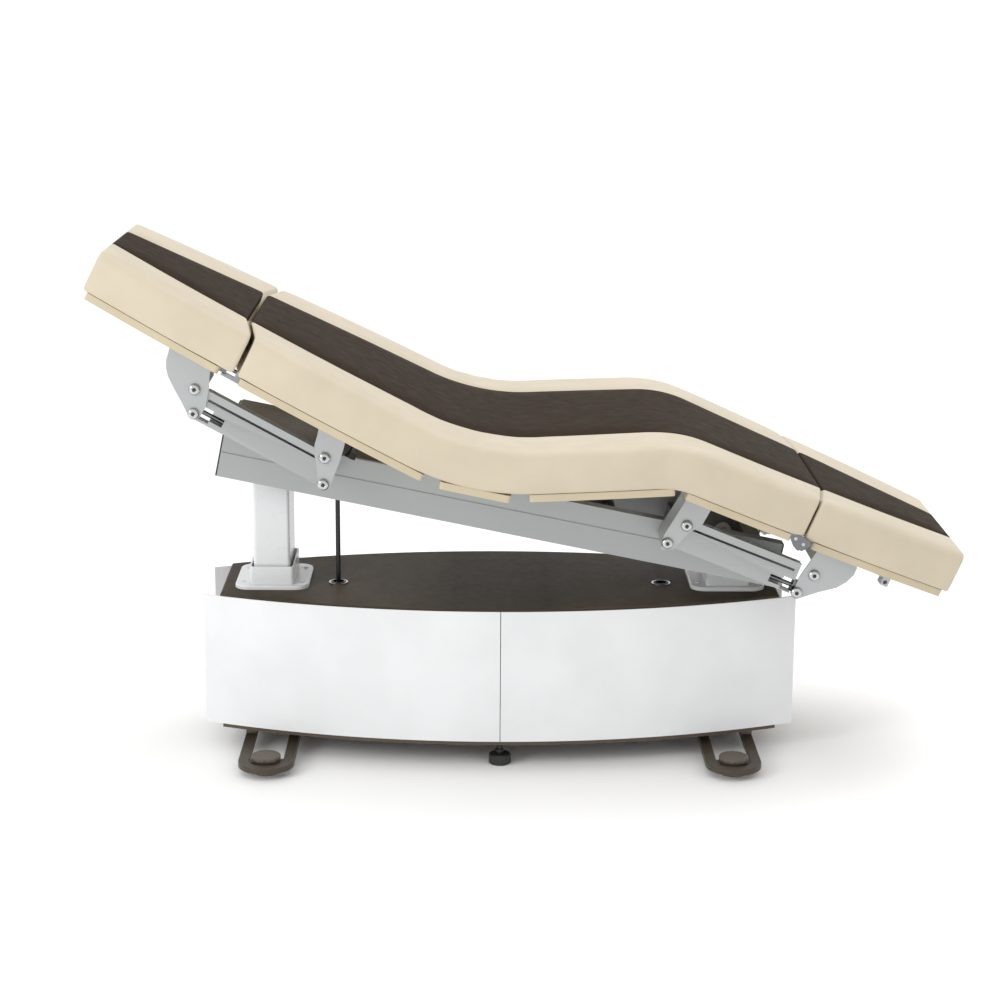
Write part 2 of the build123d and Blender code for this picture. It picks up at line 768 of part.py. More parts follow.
def actuator_lug(tip, y, frame_z):
    """Two plates and a pin that the rod's eye hangs on."""
    lug = across(7, y - 22, y + 22, *tip)
    for side in (-1, 1):
        y0, y1 = sorted((y + side * 14, y + side * 22))
        lug += across(16, y0, y1, *tip)
        lug += block(tip[0] - 16, tip[0] + 16, y0, y1, tip[1], frame_z)
    return lug


def make_frames():
    back = section_frame(back_start, back_slope, 40, 440)
    back += hinge_arms(back_start, back_slope, back_hinge, 436)
    add("back_frame", back + actuator_lug(
        back_actuator_tip, back_actuator_y, 698))
    thigh = section_frame(pelvis_thigh_top, thigh_slope, 40, 335)
    thigh += hinge_arms(pelvis_thigh_top, thigh_slope, thigh_hinge, 44)
    thigh += knee_lugs()
    lug = actuator_lug(leg_actuator_tip, leg_actuator_y, 640)
    add("thigh_frame", thigh + lug)
    leg = section_frame(knee_top, leg_slope, 60, 330)
    leg += hinge_arms(knee_top, leg_slope, knee_hinge, 64)
    add("leg_frame", leg)


# ---- actuators ----
def make_actuator(name, base, tip, y):
    """A push rod drive from a cross shaft to a lug pin.

    The rod's eye is a wide hole, because it does not follow the lug
    exactly: the pin has room to move in it.
    """
    length = math.dist(base, tip)
    slope = slope_between(base, tip)
    body = along(19, 24, 196) + block(8, 60, -19, 19, -19, 19)
    body += block(10, 110, 22, 62, -19, 19) + block(10, 40, 0, 62, -19, 19)
    body += across(22, -19, 19)
    body -= across(shaft_radius + 0.1, -80, 80)
    body -= along(13.2, 40, 197)
    rod = along(12, 60, length - 18)
    eye = across(24, -9, 9, length) - across(14.5, -10, 10, length)
    rod = rod + eye
    add(f"{name}_actuator_motor",
        Pos(0, y, 0) * tilted(body, base, slope))
    add(f"{name}_actuator_rod", Pos(0, y, 0) * tilted(rod, base, slope))


# ---- small parts ----
def make_cable():
    gland_z = 627.0
    ring_level = top_plate_top + 4
    add("cable_lower", upright(5.5, 120, ring_level, cable_x, cable_y))
    add("cable_upper", upright(
        5.5, ring_level, gland_z, cable_x, cable_y))
    gland = upright(9, gland_z, gland_z + 14, cable_x, cable_y)
    add("cable_gland", gland)


def make_clamp_knobs():
    place = offset_down(back_start, back_slope, 326, under_board)
    clip = block(-18, 14, -290, -250, -9, 0)
    clip_shape = tilted(clip, place, back_slope)
    stem = Cylinder(6, 12) + Pos(0, 0, -16) * Cylinder(8, 20)
    stem += Pos(0, 0, -32) * Cone(13, 8, 14)
    knob = tilted(Pos(0, -270, -15.5) * stem, place, back_slope)
    extra["back_brackets"] = both_sides(clip_shape)
    for side, shape in zip(("front", "rear"), both_sides(knob)):
        add(f"{side}_clamp_knob", shape)


def make_end_bracket():
    top = -under_board
    plate = block(120, 205, -300, -262, top - 4, top)
    plate += block(188, 205, -300, -262, top - 22, top - 4)
    plate -= across(5, -310, -255, 196, top - 13)
    extra["foot_brackets"] = both_sides(
        tilted(plate, foot_start, foot_slope))


def export_all():
    os.makedirs("parts", exist_ok=True)
    for name, shape in nodes.items():
        export_step(shape, f"parts/{name}.step")


make_base()
make_feet()
make_columns()
make_chassis()
make_sections()
make_rails()
make_clamp_knobs()
make_end_bracket()
make_brackets()
make_frames()
make_actuator("back", back_actuator_base, back_actuator_tip,
              back_actuator_y)
make_actuator("leg", leg_actuator_base, leg_actuator_tip, leg_actuator_y)
make_cable()
export_all()
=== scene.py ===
import json
import math

import bmesh
import bpy
import numpy as np
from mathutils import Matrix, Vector


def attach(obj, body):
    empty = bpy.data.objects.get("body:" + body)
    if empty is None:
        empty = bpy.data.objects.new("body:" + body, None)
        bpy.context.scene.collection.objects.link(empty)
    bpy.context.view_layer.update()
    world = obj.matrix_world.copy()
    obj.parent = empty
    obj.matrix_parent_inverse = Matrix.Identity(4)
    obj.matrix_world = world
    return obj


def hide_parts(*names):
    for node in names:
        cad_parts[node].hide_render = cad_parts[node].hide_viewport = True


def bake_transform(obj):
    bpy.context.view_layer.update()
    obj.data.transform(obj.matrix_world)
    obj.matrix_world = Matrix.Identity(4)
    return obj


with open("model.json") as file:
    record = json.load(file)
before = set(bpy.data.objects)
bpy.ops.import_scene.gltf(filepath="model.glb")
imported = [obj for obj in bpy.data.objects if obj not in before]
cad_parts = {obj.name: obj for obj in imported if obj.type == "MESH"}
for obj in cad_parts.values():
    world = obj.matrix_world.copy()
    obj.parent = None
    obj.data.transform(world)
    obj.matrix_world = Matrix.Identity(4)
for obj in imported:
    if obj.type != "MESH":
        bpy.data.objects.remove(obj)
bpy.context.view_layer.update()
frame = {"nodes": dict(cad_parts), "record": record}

# Facial treatment bed. Metres, +X towards the foot end, +Y to the rear, +Z up.

BED_SHIFT = -0.0643            # base centre to the middle of the whole bed

# ---- the mattress, as X, Z of its top line from the base's centre ----
HEAD_START = (-0.8699, 1.1812)
HEAD_END = (-0.5620, 1.0250)
BACK_START = (-0.5535, 1.0207)
BACK_END = (-0.113, 0.800)      # where the back's board meets the pelvis board
THIGH_START = (0.020, 0.7735)
SEAT_CORNER = (-0.0543, 0.7707)
KNEE_CORNER = (0.3910, 0.7875)
LEG_END = (0.7210, 0.6457)
FOOT_START = (0.7251, 0.6439)
FOOT_END = (1.0410, 0.5081)
SEAT_TANGENT = 0.125           # how far the seat's bend reaches each way
KNEE_TANGENT = 0.062
CUSHION_GAP = 0.009

THICKNESS = 0.094
HALF_WIDTH = 0.435             # at the middle of the bed
END_HALF_WIDTH = 0.275
BAND = 0.163                   # pale border beside the dark strip
EDGE_RADIUS = 0.017
LOWER_RADIUS = 0.006
LOWER_CORNER = 0.3             # share of the lower radius that its middle point cuts off
SEAM_DEPTH = 0.0022
SEAM_WIDTH = 0.004             # from the seam's bottom to each edge
JOINT_SLANT = 0.027            # how far the joints lean at the mattress's sides
LEAN_REACH = 0.16              # how far along a cushion the lean fades out
BEND_STEPS = 40
DIRECTION_STEP = 0.002         # for the direction of a route at a point
STATION_STEP = 0.0095

BACK_SEAT_CUT = -0.045         # X where the mattress is split, above the pelvis board
SEAT_LEG_CUT = 0.205           # and above the thigh board


# ---- materials ----
def srgb(r, g, b):
    def linear(value):
        value = value / 255
        return value / 12.92 if value <= 0.04045 else ((value + 0.055) / 1.055) ** 2.4
    return (linear(r), linear(g), linear(b), 1.0)


class Nodes:
    """Short names for the nodes of one material."""

    def __init__(self, name):
        self.material = bpy.data.materials.new(name)
        self.material.use_nodes = True
        self.tree = self.material.node_tree
        self.shader = self.tree.nodes["Principled BSDF"]
        self.place = self.tree.nodes.new("ShaderNodeTexCoord").outputs["Object"]

    def link(self, a, b):
        self.tree.links.new(a, b)

    def stretched(self, scale):
        node = self.tree.nodes.new("ShaderNodeMapping")
        node.inputs["Scale"].default_value = scale
        self.link(self.place, node.inputs["Vector"])
        return node.outputs["Vector"]

    def noise(self, scale, detail=3.0, roughness=0.55, vector=None):
        node = self.tree.nodes.new("ShaderNodeTexNoise")
        node.inputs["Scale"].default_value = scale
        node.inputs["Detail"].default_value = detail
        node.inputs["Roughness"].default_value = roughness
        self.link(vector or self.place, node.inputs["Vector"])
        return node.outputs["Fac"]

    def cells(self, scale):
        node = self.tree.nodes.new("ShaderNodeTexVoronoi")
        node.feature = "DISTANCE_TO_EDGE"
        node.inputs["Scale"].default_value = scale
        self.link(self.place, node.inputs["Vector"])
        return node.outputs["Distance"]

    def remap(self, value, low, high, to_low, to_high):
        node = self.tree.nodes.new("ShaderNodeMapRange")
        for socket, number in (("From Min", low), ("From Max", high),
                               ("To Min", to_low), ("To Max", to_high)):
            node.inputs[socket].default_value = number
        self.link(value, node.inputs["Value"])
        return node.outputs["Result"]

    def mix(self, factor, a, b):
        node = self.tree.nodes.new("ShaderNodeMix")
        node.data_type = "RGBA"
        if isinstance(factor, float):
            node.inputs[0].default_value = factor
        else:
            self.link(factor, node.inputs[0])
        for socket, value in ((node.inputs[6], a), (node.inputs[7], b)):
            if isinstance(value, tuple):
                socket.default_value = value
            else:
                self.link(value, socket)
        return node.outputs[2]

    def bump(self, height, strength, distance, under=None):
        node = self.tree.nodes.new("ShaderNodeBump")
        node.inputs["Strength"].default_value = strength
        node.inputs["Distance"].default_value = distance
        self.link(height, node.inputs["Height"])
        if under:
            self.link(under, node.inputs["Normal"])
        return node.outputs["Normal"]

    def worn_edges(self, colour, worn, amount):
        geometry = self.tree.nodes.new("ShaderNodeNewGeometry")
        edge = self.remap(geometry.outputs["Pointiness"], 0.53, 0.60, 0.0, amount)
        return self.mix(edge, colour, worn)

    def finish(self, colour, roughness, normal=None, metallic=0.0):
        self.link(colour, self.shader.inputs["Base Color"])
        self.link(roughness, self.shader.inputs["Roughness"])
        if normal:
            self.link(normal, self.shader.inputs["Normal"])
        self.shader.inputs["Metallic"].default_value = metallic
        return self.material


def scaled(colour, amount):
    return tuple(min(c * amount, 1.0) for c in colour[:3]) + (1.0,)


def vinyl(name, colour, roughness=0.42, grain=0.30, gloss=0.25):
    """Upholstery vinyl: a fine creased grain with painted shade in its creases, faint mottling
    and a soft sheen.
    """
    n = Nodes(name)
    mottled = n.mix(n.remap(n.noise(9.0), 0.35, 0.65, 0.0, 1.0),
                    scaled(colour, 0.965), scaled(colour, 1.03))
    creases = n.remap(n.cells(620.0), 0.0, 0.18, 0.0, 1.0)
    # painted shade: the grain's creases are darkened by up to 12 per cent towards a darker copy
    # of the colour
    crease_shaded = n.mix(n.remap(creases, 0.0, 1.0, 0.12, 0.0), mottled, scaled(colour, 0.72))
    pores = n.bump(n.noise(2600.0, 2.0), 0.10, 0.0002)
    grained = n.bump(creases, grain, 0.00035, pores)
    rough = n.remap(n.noise(38.0, 4.0), 0.3, 0.7, roughness - 0.05, roughness + 0.06)
    n.shader.inputs["Specular IOR Level"].default_value = gloss
    return n.finish(crease_shaded, rough, grained)


def painted(name, colour, roughness, texture=0.10, worn=None, coat=0.0, gloss=0.35,
            haze=0.045):
    """Paint or powder coat with a faint orange peel and rubbed edges."""
    n = Nodes(name)
    base = n.mix(n.remap(n.noise(7.0), 0.35, 0.65, 0.0, 1.0),
                 scaled(colour, 0.97), scaled(colour, 1.02))
    if worn:
        base = n.worn_edges(base, worn, 0.45)
    rough = n.remap(n.noise(60.0, 4.0), 0.3, 0.7, roughness - haze, roughness + haze)
    peel = n.bump(n.noise(480.0, 2.0), texture, 0.0003)
    n.shader.inputs["Coat Weight"].default_value = coat
    n.shader.inputs["Coat Roughness"].default_value = 0.12
    n.shader.inputs["Specular IOR Level"].default_value = gloss
    return n.finish(base, rough, peel)


def brushed(name, colour, roughness, along=(6.0, 900.0, 900.0), depth=0.10, metallic=1.0):
    """Metal with fine drawn lines and lighter edges."""
    n = Nodes(name)
    lines = n.noise(1.0, 3.0, 0.6, n.stretched(along))
    base = n.mix(n.remap(lines, 0.3, 0.7, 0.0, 1.0), scaled(colour, 0.93), scaled(colour, 1.05))
    base = n.worn_edges(base, scaled(colour, 1.35), 0.5)
    rough = n.remap(lines, 0.3, 0.7, roughness - 0.06, roughness + 0.08)
    return n.finish(base, rough, n.bump(lines, depth, 0.0002), metallic)


def polished(name, colour, roughness):
    """Chrome with the faintest haze and handling marks."""
    n = Nodes(name)
    haze = n.noise(45.0, 5.0)
    base = n.mix(n.remap(haze, 0.3, 0.7, 0.0, 1.0), scaled(colour, 0.96), scaled(colour, 1.02))
    rough = n.remap(haze, 0.3, 0.7, roughness, roughness + 0.06)
    return n.finish(base, rough, n.bump(n.noise(700.0, 2.0), 0.02, 0.0001), 1.0)


def moulded(name, colour, roughness):
    """Moulded plastic with a spark-eroded texture."""
    n = Nodes(name)
    base = n.mix(n.remap(n.noise(20.0), 0.35, 0.65, 0.0, 1.0),
                 scaled(colour, 0.85), scaled(colour, 1.15))
    base = n.worn_edges(base, scaled(colour, 2.4), 0.5)
    rough = n.remap(n.noise(90.0, 4.0), 0.3, 0.7, roughness - 0.06, roughness + 0.06)
    return n.finish(base, rough, n.bump(n.cells(1500.0), 0.12, 0.0002))


CREAM = srgb(195, 184, 163)
STRIP = srgb(50, 41, 32)
BOARD = srgb(190, 177, 151)
BROWN = srgb(66, 58, 48)
MATERIALS = {
    "cushion_vinyl": vinyl("cream_vinyl", CREAM),
    "board_vinyl": vinyl("board_vinyl", BOARD, 0.46, 0.22),
    "rail_metal": brushed("rail_aluminium", srgb(157, 159, 159), 0.40, metallic=0.75),
    "bracket_steel": brushed("bracket_steel", srgb(160, 163, 163), 0.42,
                             (70.0, 70.0, 600.0), 0.05, 0.6),
    "frame_steel": painted("frame_paint", srgb(52, 50, 48), 0.5),
    "drive_rod": polished("rod_chrome", srgb(116, 118, 120), 0.12),
    "gas_spring": painted("spring_paint", srgb(30, 30, 31), 0.35, coat=0.2),
    "chassis_paint": brushed("chassis_silver", srgb(148, 151, 150), 0.42, depth=0.05,
                             metallic=0.7),
    "crossmember_steel": painted("crossmember_paint", srgb(120, 121, 120), 0.45),
    "brown_paint": painted("brown_laminate", BROWN, 0.45, 0.12, srgb(150, 138, 122)),
    "base_board": painted("base_laminate", srgb(52, 46, 38), 0.50, 0.12,
                          srgb(120, 108, 94), gloss=0.04),
    "cover_white": painted("cover_gloss_white", srgb(216, 217, 218), 0.25, 0.02, coat=0.1,
                           haze=0.006),
    "panel_grey": moulded("panel_grey", srgb(150, 151, 150), 0.5),
    "column_white": painted("column_white", srgb(212, 215, 215), 0.30, 0.04, coat=0.2),
    "stage_metal": brushed("stage_aluminium", srgb(205, 207, 208), 0.34,
                           (900.0, 900.0, 6.0), 0.08),
    "spindle_steel": brushed("turned_steel", srgb(190, 191, 192), 0.30,
                             (900.0, 900.0, 500.0), 0.10),
    "black_plastic": moulded("black_plastic", srgb(30, 29, 29), 0.42),
    "ring_chrome": polished("ring_chrome", srgb(190, 192, 193), 0.10),
    "cable_black": moulded("cable_jacket", srgb(26, 25, 25), 0.35),
}
STRIP_VINYL = vinyl("brown_vinyl", STRIP, 0.44, 0.22, 0.006)
INSET_VINYL = vinyl("inset_vinyl", scaled(STRIP, 0.92), 0.42, 0.22, 0.01)
STEEL_DARK = brushed("dark_plate", srgb(118, 120, 122), 0.42, (80.0, 80.0, 500.0), 0.05, 0.7)


# ---- carried-over CAD nodes ----
SOFT = {f"{part}_cushion" for part in ("head", "back", "pelvis", "thigh", "leg", "foot")}
EDGE_WIDTHS = {"board": 0.0040, "cover": 0.0012, "plate": 0.0020, "loops": 0.0018,
               "flanges": 0.0012, "brackets": 0.0010, "rails": 0.0012, "beams": 0.0016}


def dress_nodes():
    """Every CAD node that keeps its shape gets its material and softened edges."""
    for part in frame["record"]["subparts"]:
        name = part["node"]
        if name in SOFT:
            continue
        node = frame["nodes"][name]
        node.data.materials.clear()
        node.data.materials.append(MATERIALS[part["material_slot"]])
        width = EDGE_WIDTHS.get(name.split("_")[-1], 0.0008)
        bevel = node.modifiers.new("edges", "BEVEL")
        bevel.width = width
        bevel.segments = 2
        bevel.limit_method = "ANGLE"
        bevel.angle_limit = math.radians(40)
        bevel.harden_normals = True


# ---- meshes ----
def new_piece(name, mesh, *materials):
    """An object made of a bmesh, which is freed."""
    bmesh.ops.recalc_face_normals(mesh, faces=mesh.faces)
    data = bpy.data.meshes.new(name)
    mesh.to_mesh(data)
    mesh.free()
    for material in materials:
        data.materials.append(material)
    piece = bpy.data.objects.new(name, data)
    bpy.context.scene.collection.objects.link(piece)
    return piece


def join_rings(mesh, a, b):
    """Smooth faces between two rings of points; returns them in order."""
    faces = []
    for i in range(len(a)):
        j = (i + 1) % len(a)
        face = mesh.faces.new((a[i], a[j], b[j], b[i]))
        face.smooth = True
        faces.append(face)
    return faces


# ---- the mattress's outline ----
def contour_length():
    places = [HEAD_START, HEAD_END, BACK_START, BACK_END, THIGH_START,
              KNEE_CORNER, LEG_END, FOOT_START, FOOT_END]
    return sum(math.dist(a, b) for a, b in zip(places, places[1:]))


HALF_CONTOUR = contour_length() / 2
SIDE_BOW = HALF_WIDTH - END_HALF_WIDTH
SIDE_RADIUS = (HALF_CONTOUR ** 2 + SIDE_BOW ** 2) / (2 * SIDE_BOW)


def half_width(run):
    away = run - HALF_CONTOUR
    return HALF_WIDTH - SIDE_RADIUS + math.sqrt(SIDE_RADIUS ** 2 - away ** 2)


class Route:
    """The top line of a cushion: straight runs joined by smooth bends."""

    def __init__(self, corners, tangents):
        points = [np.array(corners[0])]
        for i in range(1, len(corners) - 1):
            corner = np.array(corners[i])
            before = np.array(corners[i - 1]) - corner
            after = np.array(corners[i + 1]) - corner
            a = corner + before / np.linalg.norm(before) * tangents[i - 1]
            b = corner + after / np.linalg.norm(after) * tangents[i - 1]
            for t in np.linspace(0, 1, BEND_STEPS):
                points.append((1 - t) ** 2 * a + 2 * t * (1 - t) * corner + t * t * b)
        points.append(np.array(corners[-1]))
        self.points = np.array(points)
        steps = np.linalg.norm(np.diff(self.points, axis=0), axis=1)
        self.runs = np.concatenate([[0], np.cumsum(steps)])
        self.length = self.runs[-1]

    def point(self, s):
        return [np.interp(s, self.runs, self.points[:, k]) for k in (0, 1)]

    def place(self, s):
        """X, Z and the unit direction of the line at a distance along it."""
        x, z = self.point(s)
        near = min(max(s, DIRECTION_STEP), self.length - DIRECTION_STEP)
        x0, z0 = self.point(near - DIRECTION_STEP)
        x1, z1 = self.point(near + DIRECTION_STEP)
        size = math.hypot(x1 - x0, z1 - z0)
        return x + BED_SHIFT, z, (x1 - x0) / size, (z1 - z0) / size


STRIP_STEPS, BAND_STEPS, SIDE_STEPS, BOTTOM_STEPS = 14, 11, 7, 12
ARC_STEPS = 5


def half_section(width):
    """One half of a cushion's cross-section: (Y, depth, zone) from its middle."""
    strip = width - BAND
    points = [(strip * k / STRIP_STEPS * (1 - SEAM_WIDTH / strip), 0.0, "strip")
              for k in range(STRIP_STEPS + 1)]
    points.append((strip, SEAM_DEPTH, "seam"))
    flat = width - EDGE_RADIUS - strip - SEAM_WIDTH
    points += [(strip + SEAM_WIDTH + flat * k / BAND_STEPS, 0.0, "band")
               for k in range(BAND_STEPS + 1)]
    for k in range(1, ARC_STEPS + 1):
        turn = math.pi / 2 * k / ARC_STEPS
        points.append((width - EDGE_RADIUS * (1 - math.sin(turn)),
                       EDGE_RADIUS * (1 - math.cos(turn)), "band"))
    tall = THICKNESS - EDGE_RADIUS - LOWER_RADIUS
    points += [(width, EDGE_RADIUS + tall * k / SIDE_STEPS, "side")
               for k in range(1, SIDE_STEPS + 1)]
    cut = LOWER_RADIUS * LOWER_CORNER
    points.append((width - cut, THICKNESS - cut, "base"))
    points += [((width - LOWER_RADIUS) * (1 - k / BOTTOM_STEPS), THICKNESS, "base")
               for k in range(BOTTOM_STEPS + 1)]
    return points


def whole_section(width):
    half = half_section(width)
    other = [(-y, depth, zone) for y, depth, zone in half[1:-1]]
    return half + other[::-1]


END_RADIUS = 0.007
END_RINGS = 4


def end_rings(length):
    """(distance along, how far the section shrinks) of every station."""
    start = []
    for k in range(END_RINGS, 0, -1):
        turn = math.pi / 2 * (1 - k / END_RINGS)
        start.append((END_RADIUS * (1 - math.cos(turn)), END_RADIUS * (1 - math.sin(turn))))
    count = max(int((length - 2 * END_RADIUS) / STATION_STEP), 4)
    middle = [(END_RADIUS + (length - 2 * END_RADIUS) * k / count, 0.0)
              for k in range(count + 1)]
    end = [(length - along, inset) for along, inset in start[::-1]]
    return start + middle + end


def loft(name, route, run0, slants):
    """A closed cushion along a route. slants lean its two end faces at the sides."""
    mesh = bmesh.new()
    zones = [zone for _, _, zone in whole_section(0.3)]
    rings = []
    for s, inset in end_rings(route.length):
        width = half_width(run0 + s)
        strip = width - BAND
        x, z, dx, dz = route.place(s)
        ring = []
        for y, depth, _ in whole_section(width):
            beyond = min(max((abs(y) - strip) / (width - strip), 0.0), 1.0)
            lean = slants[0] * max(1 - s / LEAN_REACH, 0.0) ** 2
            lean += slants[1] * max(1 - (route.length - s) / LEAN_REACH, 0.0) ** 2
            y *= (width - inset) / width
            depth = inset + depth * (THICKNESS - 2 * inset) / THICKNESS
            along = lean * beyond
            ring.append(mesh.verts.new((x + dx * along + dz * depth, y,
                                        z + dz * along - dx * depth)))
        rings.append(ring)
    dark = {"strip", "seam"}
    for a, b in zip(rings, rings[1:]):
        for face, zone, following in zip(join_rings(mesh, a, b), zones, zones[1:] + zones[:1]):
            face.material_index = 1 if {zone, following} <= dark else 0
    mesh.faces.new(rings[0]).smooth = True
    mesh.faces.new(rings[-1][::-1]).smooth = True
    piece = new_piece(name, mesh, MATERIALS["cushion_vinyl"], STRIP_VINYL)
    pinned = []
    for index in range(len(rings)):
        at_end = min(index, len(rings) - 1 - index) <= END_RINGS
        for i, zone in enumerate(zones):
            if at_end or zone in ("seam", "base"):
                pinned.append(index * len(zones) + i)
    group = piece.vertex_groups.new(name="held")
    group.add(pinned, 1.0, "REPLACE")
    return piece


PUFF_LIMIT = 0.0045            # the furthest that a point may swell
PUFF_FRAMES = 20


def puff(piece):
    """Cloth with pressure swells the cover between its held seams."""
    scene = bpy.context.scene
    before = np.array([v.co for v in piece.data.vertices])
    cloth = piece.modifiers.new("cloth", "CLOTH")
    settings = cloth.settings
    settings.quality = 5
    settings.mass = 0.4
    settings.tension_stiffness = 25
    settings.compression_stiffness = 25
    settings.shear_stiffness = 12
    settings.bending_stiffness = 3.0
    settings.use_pressure = True
    settings.uniform_pressure_force = 4.0
    settings.vertex_group_mass = "held"
    settings.effector_weights.gravity = 0.0
    cloth.point_cache.frame_start = 1
    cloth.point_cache.frame_end = PUFF_FRAMES
    for step in range(1, PUFF_FRAMES + 1):
        scene.frame_set(step)
    shape = piece.evaluated_get(bpy.context.evaluated_depsgraph_get()).to_mesh()
    after = np.array([v.co for v in shape.vertices])
    move = after - before
    size = np.linalg.norm(move, axis=1, keepdims=True)
    move *= PUFF_LIMIT * np.tanh(size / PUFF_LIMIT) / np.maximum(size, 1e-9)
    piece.modifiers.remove(cloth)
    for vertex, place in zip(piece.data.vertices, before + move):
        vertex.co = place
    scene.frame_set(1)


def subdivide(piece):
    """Gives the piece its own mesh after one subdivision."""
    piece.modifiers.new("smooth", "SUBSURF").levels = 1
    bpy.context.view_layer.update()
    shape = piece.evaluated_get(bpy.context.evaluated_depsgraph_get())
    data = bpy.data.meshes.new_from_object(shape)
    piece.modifiers.clear()
    piece.data = data


def part_of(piece, name, left, right):
    """A copy of the piece between two upright planes across the bed."""
    mesh = bmesh.new()
    mesh.from_mesh(piece.data)
    for x, side in ((left, 1), (right, -1)):
        if x is None:
            continue
        everything = mesh.verts[:] + mesh.edges[:] + mesh.faces[:]
        bmesh.ops.bisect_plane(mesh, geom=everything, dist=1e-6,
                               plane_co=(x + BED_SHIFT, 0, 0), plane_no=(-side, 0, 0),
                               clear_outer=True)
    data = bpy.data.meshes.new(name)
    mesh.to_mesh(data)
    mesh.free()
    for material in piece.data.materials:
        data.materials.append(material)
    new = bpy.data.objects.new(name, data)
    bpy.context.scene.collection.objects.link(new)
    return new


def make_mattress():
    route = Route([BACK_START, SEAT_CORNER, KNEE_CORNER, LEG_END],
                  [SEAT_TANGENT, KNEE_TANGENT])
    run0 = math.dist(HEAD_START, HEAD_END) + CUSHION_GAP
    whole = loft("mattress", route, run0, (JOINT_SLANT, -JOINT_SLANT))
    puff(whole)
    subdivide(whole)
    back = part_of(whole, "back_mattress", None, BACK_SEAT_CUT)
    seat = part_of(whole, "seat_mattress", BACK_SEAT_CUT, SEAT_LEG_CUT)
    leg = part_of(whole, "leg_mattress", SEAT_LEG_CUT, None)
    bpy.data.objects.remove(whole)
    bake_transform(back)
    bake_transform(seat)
    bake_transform(leg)
    for piece, nodes in ((back, ["back_cushion"]), (seat, ["pelvis_cushion"]),
                         (leg, ["thigh_cushion", "leg_cushion"])):
        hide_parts(*nodes)


def make_end_cushion(name, body, start, end, run0, slants):
    route = Route([start, end], [])
    piece = loft(f"{name}_pad", route, run0, slants)
    puff(piece)
    subdivide(piece)
    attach(piece, body)
    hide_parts(f"{name}_cushion")
    return route


INSET_LENGTH, INSET_WIDTH = 0.205, 0.088
INSET_POINTS = 96
INSET_PROFILE = [(1.0, -0.0030), (0.994, 0.0010), (0.970, 0.0018), (0.940, 0.0012),
                 (0.932, -0.0002), (0.920, -0.0002), (0.912, 0.0012), (0.80, 0.0024),
                 (0.60, 0.0030), (0.35, 0.0034), (0.12, 0.0035)]


def make_inset(name, body, route, middle):
    """An oval plug in the dark strip: a low crowned pad inside a sewn groove."""
    mesh = bmesh.new()
    x, z, dx, dz = route.place(middle)
    rings = []
    for share, height in INSET_PROFILE:
        ring = []
        for k in range(INSET_POINTS):
            turn = 2 * math.pi * k / INSET_POINTS
            u = INSET_LENGTH / 2 * math.cos(turn) * share
            y = INSET_WIDTH / 2 * math.sin(turn) * share
            ring.append(mesh.verts.new((x + dx * u - dz * height, y, z + dz * u + dx * height)))
        rings.append(ring)
    for a, b in zip(rings, rings[1:]):
        join_rings(mesh, a, b)
    mesh.faces.new(rings[-1]).smooth = True
    mesh.faces.new(rings[0][::-1]).smooth = True
    piece = new_piece(f"{name}_inset", mesh, INSET_VINYL)
    piece.modifiers.new("smooth", "SUBSURF").levels = 1
    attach(piece, body)


def make_cushions():
    head = make_end_cushion("head", "head_section", HEAD_START, HEAD_END, 0.0,
                            (0.0, JOINT_SLANT))
    foot_run = 2 * HALF_CONTOUR - math.dist(FOOT_START, FOOT_END)
    foot = make_end_cushion("foot", "foot_section", FOOT_START, FOOT_END, foot_run,
                            (-JOINT_SLANT, 0.0))
    make_inset("head", "head_section", head, head.length * 0.60)
    make_inset("foot", "foot_section", foot, foot.length * 0.44)


# ---- small pieces ----
RING_DISTANCE, RING_Y = 0.378, -0.040    # the cable rings, from the base's middle
CABLE_PLACE = (-RING_DISTANCE + BED_SHIFT, RING_Y)
CABLE_RADIUS = 0.0055
CABLE_LEVELS = (0.120, 0.380, 0.627)    # its lower end, the ring and the gland
CABLE_STEPS = 12


def lathe(mesh, profile, centre, axis, count=32, slot=0, hollow=False):
    """Turns (radius, height) points round an axis through centre.

    slot is the material that the faces get. A hollow one has no end faces.
    """
    axis = Vector(axis).normalized()
    side = axis.orthogonal().normalized()
    other = axis.cross(side)
    rings = []
    for radius, height in profile:
        ring = []
        for k in range(count):
            turn = 2 * math.pi * k / count
            ring.append(mesh.verts.new(
                Vector(centre) + axis * height
                + (side * math.cos(turn) + other * math.sin(turn)) * radius))
        rings.append(ring)
    following = rings[1:] + rings[:1] if hollow else rings[1:]
    for a, b in zip(rings, following):
        for face in join_rings(mesh, a, b):
            face.material_index = slot
    if not hollow:
        for ring in (rings[0], rings[-1][::-1]):
            mesh.faces.new(ring).material_index = slot


def make_cable():
    """The lead from the chassis to its ring, in two lengths."""
    for name, node, bodies, low, high in (
            ("cable_in_base", "cable_lower", ("base", "cable_mid"), *CABLE_LEVELS[:2]),
            ("cable_to_chassis", "cable_upper", ("cable_mid", "cable_top"), *CABLE_LEVELS[1:])):
        mesh = bmesh.new()
        profile = [(CABLE_RADIUS, low + (high - low) * k / CABLE_STEPS)
                   for k in range(CABLE_STEPS + 1)]
        lathe(mesh, profile, (*CABLE_PLACE, 0.0), (0, 0, 1), 20)
        piece = new_piece(name, mesh, MATERIALS["cable_black"])
        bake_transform(piece)
        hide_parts(node)


